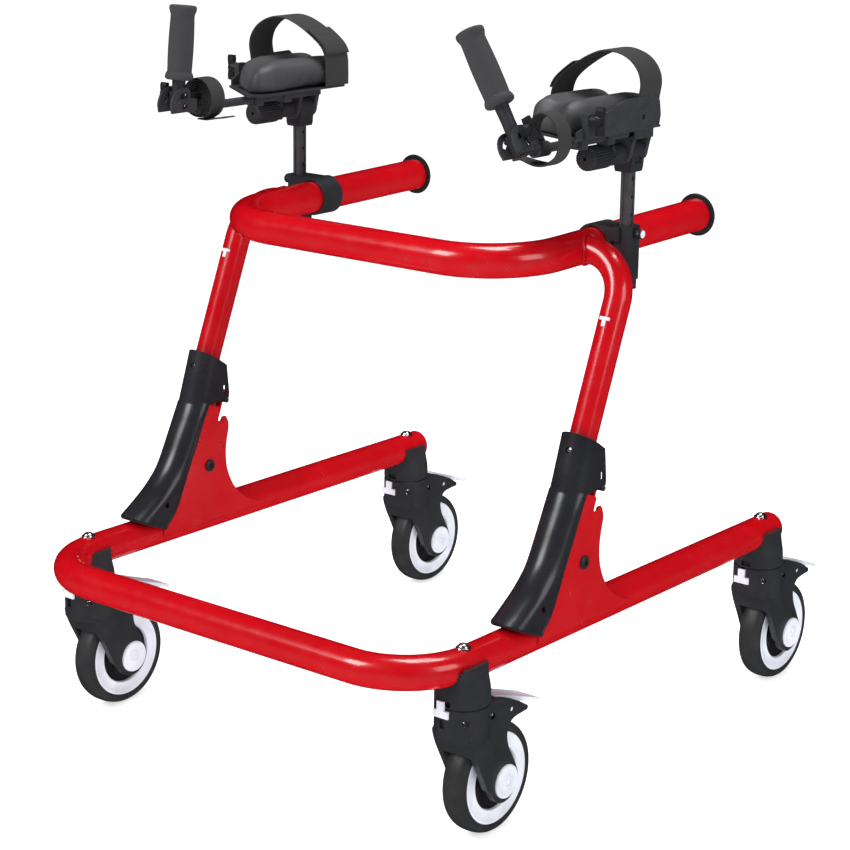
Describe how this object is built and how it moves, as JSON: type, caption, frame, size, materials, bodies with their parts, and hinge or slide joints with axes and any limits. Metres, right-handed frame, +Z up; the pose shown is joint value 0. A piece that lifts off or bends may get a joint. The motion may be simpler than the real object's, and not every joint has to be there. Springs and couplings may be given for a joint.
{
  "type": "walking frame",
  "caption": "Red tubular walking frame on four braked swivel casters, with a folding handlebar and two adjustable forearm platforms carrying straps and hand grips.",
  "frame": {"origin": "on the floor, under the centre of the bounding box", "axes": "+Z up, -Y towards the closed front of the base, +X towards the support whose grip is rolled inwards"},
  "size_m": [0.623, 0.8087, 0.8473],
  "materials": {
    "red_paint": "gloss",
    "black_plastic": "satin",
    "tyre": "matt",
    "white_plastic": "satin",
    "black_steel": "satin",
    "dark_aluminium": "satin",
    "black_vinyl": "semi-gloss",
    "black_webbing": "matt",
    "grip_rubber": "matt"
  },
  "bodies": {
    "base": {"base_frame": "red_paint", "caster_housing_front_left": "black_plastic", "caster_housing_front_right": "black_plastic", "caster_housing_rear_left": "black_plastic", "caster_housing_rear_right": "black_plastic", "leg_sleeve_left": "black_plastic", "pivot_bolt_left": "black_steel", "leg_sleeve_right": "black_plastic", "pivot_bolt_right": "black_steel"},
    "upper": {"upper_frame": "red_paint", "handle_cap_left": "black_plastic", "handle_cap_right": "black_plastic"},
    "latch_left": {"latch_pin_left": "black_steel"},
    "latch_right": {"latch_pin_right": "black_steel"},
    "fork_front_left": {"caster_fork_front_left": "black_plastic", "axle_front_left": "white_plastic"},
    "wheel_front_left": {"wheel_front_left": "tyre"},
    "pedal_front_left": {"brake_pedal_front_left": "white_plastic"},
    "lock_front_left": {"swivel_lock_front_left": "white_plastic"},
    "fork_front_right": {"caster_fork_front_right": "black_plastic", "axle_front_right": "white_plastic"},
    "wheel_front_right": {"wheel_front_right": "tyre"},
    "pedal_front_right": {"brake_pedal_front_right": "white_plastic"},
    "lock_front_right": {"swivel_lock_front_right": "white_plastic"},
    "fork_rear_left": {"caster_fork_rear_left": "black_plastic", "axle_rear_left": "white_plastic"},
    "wheel_rear_left": {"wheel_rear_left": "tyre"},
    "pedal_rear_left": {"brake_pedal_rear_left": "white_plastic"},
    "lock_rear_left": {"swivel_lock_rear_left": "white_plastic"},
    "fork_rear_right": {"caster_fork_rear_right": "black_plastic", "axle_rear_right": "white_plastic"},
    "wheel_rear_right": {"wheel_rear_right": "tyre"},
    "pedal_rear_right": {"brake_pedal_rear_right": "white_plastic"},
    "lock_rear_right": {"swivel_lock_rear_right": "white_plastic"},
    "clamp_right": {"post_clamp_right": "black_plastic"},
    "post_right": {"post_right": "dark_aluminium", "tilt_head_right": "black_plastic"},
    "pin_right": {"post_pin_right": "black_plastic"},
    "tilt_knob_right": {"tilt_knob_right": "black_plastic"},
    "arm_right": {"arm_plate_right": "dark_aluminium", "cushion_right": "black_vinyl", "forearm_strap_right": "black_webbing"},
    "rod_right": {"grip_rod_right": "dark_aluminium", "wrist_strap_right": "black_webbing"},
    "grip_right": {"hand_grip_right": "grip_rubber"},
    "grip_knob_right": {"grip_knob_right": "black_plastic"},
    "rod_knob_right": {"rod_knob_right": "black_plastic"},
    "clamp_left": {"post_clamp_left": "black_plastic"},
    "post_left": {"post_left": "dark_aluminium", "tilt_head_left": "black_plastic"},
    "pin_left": {"post_pin_left": "black_plastic"},
    "tilt_knob_left": {"tilt_knob_left": "black_plastic"},
    "arm_left": {"arm_plate_left": "dark_aluminium", "cushion_left": "black_vinyl", "forearm_strap_left": "black_webbing"},
    "rod_left": {"grip_rod_left": "dark_aluminium", "wrist_strap_left": "black_webbing"},
    "grip_left": {"hand_grip_left": "grip_rubber"},
    "grip_knob_left": {"grip_knob_left": "black_plastic"},
    "rod_knob_left": {"rod_knob_left": "black_plastic"}
  },
  "joints": [
    {"name": "fold", "type": "hinge", "parent": "base", "child": "upper", "pos_m": [0, -0.12268, 0.2705], "axis": [-1, 0, 0], "range_deg": [0, 55]},
    {"name": "latch_left", "type": "slide", "parent": "upper", "child": "latch_left", "axis": [0, 0.3714, 0.9285], "range_m": [-0.024, 0]},
    {"name": "latch_right", "type": "slide", "parent": "upper", "child": "latch_right", "axis": [0, 0.3714, 0.9285], "range_m": [-0.024, 0]},
    {"name": "swivel_front_left", "type": "hinge", "parent": "base", "child": "fork_front_left", "pos_m": [-0.2818, -0.30768, 0.16], "axis": [0, 0, 1], "continuous": true},
    {"name": "roll_front_left", "type": "hinge", "parent": "fork_front_left", "child": "wheel_front_left", "pos_m": [-0.2818, -0.26368, 0.0625], "axis": [1, 0, 0], "continuous": true},
    {"name": "brake_front_left", "type": "hinge", "parent": "fork_front_left", "child": "pedal_front_left", "pos_m": [-0.2818, -0.25518, 0.142], "axis": [-1, 0, 0], "range_deg": [0, 10]},
    {"name": "swivel_lock_front_left", "type": "slide", "parent": "fork_front_left", "child": "lock_front_left", "axis": [0, 0, 1], "range_m": [-0.01, 0]},
    {"name": "swivel_front_right", "type": "hinge", "parent": "base", "child": "fork_front_right", "pos_m": [0.2818, -0.30768, 0.16], "axis": [0, 0, 1], "continuous": true},
    {"name": "roll_front_right", "type": "hinge", "parent": "fork_front_right", "child": "wheel_front_right", "pos_m": [0.2818, -0.26368, 0.0625], "axis": [1, 0, 0], "continuous": true},
    {"name": "brake_front_right", "type": "hinge", "parent": "fork_front_right", "child": "pedal_front_right", "pos_m": [0.2818, -0.25518, 0.142], "axis": [-1, 0, 0], "range_deg": [0, 10]},
    {"name": "swivel_lock_front_right", "type": "slide", "parent": "fork_front_right", "child": "lock_front_right", "axis": [0, 0, 1], "range_m": [-0.01, 0]},
    {"name": "swivel_rear_left", "type": "hinge", "parent": "base", "child": "fork_rear_left", "pos_m": [-0.2818, 0.28632, 0.16], "axis": [0, 0, 1], "continuous": true},
    {"name": "roll_rear_left", "type": "hinge", "parent": "fork_rear_left", "child": "wheel_rear_left", "pos_m": [-0.2818, 0.33032, 0.0625], "axis": [1, 0, 0], "continuous": true},
    {"name": "brake_rear_left", "type": "hinge", "parent": "fork_rear_left", "child": "pedal_rear_left", "pos_m": [-0.2818, 0.33882, 0.142], "axis": [-1, 0, 0], "range_deg": [0, 10]},
    {"name": "swivel_lock_rear_left", "type": "slide", "parent": "fork_rear_left", "child": "lock_rear_left", "axis": [0, 0, 1], "range_m": [0, 0.01]},
    {"name": "swivel_rear_right", "type": "hinge", "parent": "base", "child": "fork_rear_right", "pos_m": [0.2818, 0.28632, 0.16], "axis": [0, 0, 1], "continuous": true},
    {"name": "roll_rear_right", "type": "hinge", "parent": "fork_rear_right", "child": "wheel_rear_right", "pos_m": [0.2818, 0.33032, 0.0625], "axis": [1, 0, 0], "continuous": true},
    {"name": "brake_rear_right", "type": "hinge", "parent": "fork_rear_right", "child": "pedal_rear_right", "pos_m": [0.2818, 0.33882, 0.142], "axis": [-1, 0, 0], "range_deg": [0, 10]},
    {"name": "swivel_lock_rear_right", "type": "slide", "parent": "fork_rear_right", "child": "lock_rear_right", "axis": [0, 0, 1], "range_m": [0, 0.01]},
    {"name": "clamp_slide_right", "type": "slide", "parent": "upper", "child": "clamp_right", "axis": [0, 0.9998, 0.0212], "range_m": [-0.008, 0.09]},
    {"name": "post_height_right", "type": "slide", "parent": "clamp_right", "child": "post_right", "axis": [0, 0, 1], "range_m": [-0.04, 0.04]},
    {"name": "post_pin_right", "type": "slide", "parent": "clamp_right", "child": "pin_right", "axis": [1, 0, 0], "range_m": [0, 0.007], "stiffness_N_per_m": 300},
    {"name": "arm_tilt_right", "type": "hinge", "parent": "post_right", "child": "arm_right", "pos_m": [0.248, 0.01832, 0.699], "axis": [0, 1, 0], "range_deg": [-20, 20]},
    {"name": "tilt_knob_right", "type": "hinge", "parent": "post_right", "child": "tilt_knob_right", "pos_m": [0.248, 0.01832, 0.699], "axis": [0, 1, 0], "range_deg": [-180, 180]},
    {"name": "rod_slide_right", "type": "slide", "parent": "arm_right", "child": "rod_right", "axis": [0, 1, 0], "range_m": [-0.03, 0]},
    {"name": "grip_tilt_right", "type": "hinge", "parent": "rod_right", "child": "grip_right", "pos_m": [0.25743, -0.19668, 0.72649], "axis": [0.8572, 0, 0.515], "range_deg": [-5, 40]},
    {"name": "grip_knob_right", "type": "hinge", "parent": "grip_right", "child": "grip_knob_right", "pos_m": [0.25124, -0.19668, 0.73677], "axis": [0.8572, 0, 0.515], "range_deg": [-180, 180]},
    {"name": "rod_knob_right", "type": "hinge", "parent": "arm_right", "child": "rod_knob_right", "pos_m": [0.2895, -0.11568, 0.7495], "axis": [1, 0, 0], "range_deg": [-180, 180]},
    {"name": "clamp_slide_left", "type": "slide", "parent": "upper", "child": "clamp_left", "axis": [0, 0.9998, 0.0212], "range_m": [-0.02, 0.09]},
    {"name": "post_height_left", "type": "slide", "parent": "clamp_left", "child": "post_left", "axis": [0, 0, 1], "range_m": [-0.04, 0.04]},
    {"name": "post_pin_left", "type": "slide", "parent": "clamp_left", "child": "pin_left", "axis": [-1, 0, 0], "range_m": [0, 0.007], "stiffness_N_per_m": 300},
    {"name": "arm_tilt_left", "type": "hinge", "parent": "post_left", "child": "arm_left", "pos_m": [-0.248, 0.03032, 0.699], "axis": [0, 1, 0], "range_deg": [-20, 20]},
    {"name": "tilt_knob_left", "type": "hinge", "parent": "post_left", "child": "tilt_knob_left", "pos_m": [-0.248, 0.03032, 0.699], "axis": [0, 1, 0], "range_deg": [-180, 180]},
    {"name": "rod_slide_left", "type": "slide", "parent": "arm_left", "child": "rod_left", "axis": [0, 1, 0], "range_m": [-0.03, 0]},
    {"name": "grip_tilt_left", "type": "hinge", "parent": "rod_left", "child": "grip_left", "pos_m": [-0.216, -0.21368, 0.7272], "axis": [1, 0, 0], "range_deg": [-4, 40]},
    {"name": "grip_knob_left", "type": "hinge", "parent": "grip_left", "child": "grip_knob_left", "pos_m": [-0.216, -0.21243, 0.73913], "axis": [1, 0, 0], "range_deg": [-180, 180]},
    {"name": "rod_knob_left", "type": "hinge", "parent": "arm_left", "child": "rod_knob_left", "pos_m": [-0.2845, -0.03968, 0.7495], "axis": [1, 0, 0], "range_deg": [-180, 180]}
  ]
}
